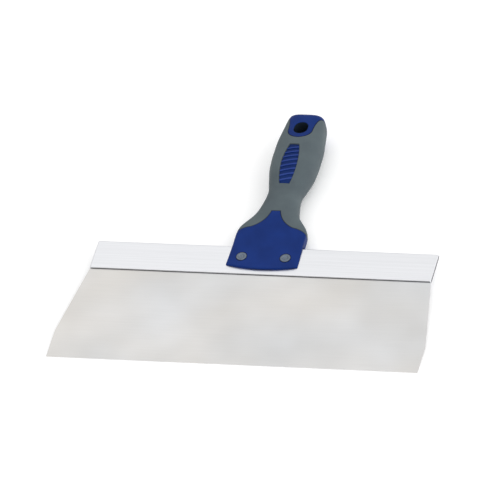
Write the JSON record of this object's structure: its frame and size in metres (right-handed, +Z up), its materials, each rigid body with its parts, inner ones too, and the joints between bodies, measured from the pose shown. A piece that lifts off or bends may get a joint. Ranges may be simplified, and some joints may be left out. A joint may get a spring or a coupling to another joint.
{
  "type": "flexible putty knife",
  "caption": "Wide flexible filling knife: thin spring-steel blade clamped in a folded backing strip, riveted into a two-colour soft-grip handle with a hanging hole.",
  "frame": {"origin": "on the table, under the middle of the knife's footprint, with the knife lying at rest on its working edge and on the swell of its handle", "axes": "+X along the working edge, to the right seen from the front face; +Y from the working edge towards the handle's end; +Z up from the table, out of the front face (the face leans back by 3.9 degrees)"},
  "size_m": [0.254, 0.2262, 0.0265],
  "materials": {
    "blade_steel": "cold-rolled stainless spring steel, fine satin",
    "strip_aluminium": "bright, brushed along its length",
    "core_plastic": "royal blue moulded polypropylene, satin",
    "grip_rubber": "grey thermoplastic rubber, matt",
    "rivet_steel": "plain steel, pressed"
  },
  "bodies": {
    "handle_assembly": {"backing_strip": "strip_aluminium", "handle_core": "core_plastic", "grip_overmould": "grip_rubber", "rivets": "rivet_steel"},
    "blade": {"blade": "blade_steel"}
  },
  "joints": [
    {"name": "blade_flex", "type": "hinge", "parent": "handle_assembly", "child": "blade", "pos_m": [0, -0.03131, 0.00587], "axis": [1, 0, 0], "range_deg": [-20, 20], "stiffness_Nm_per_rad": 14.5, "deforming": ["blade"]}
  ]
}
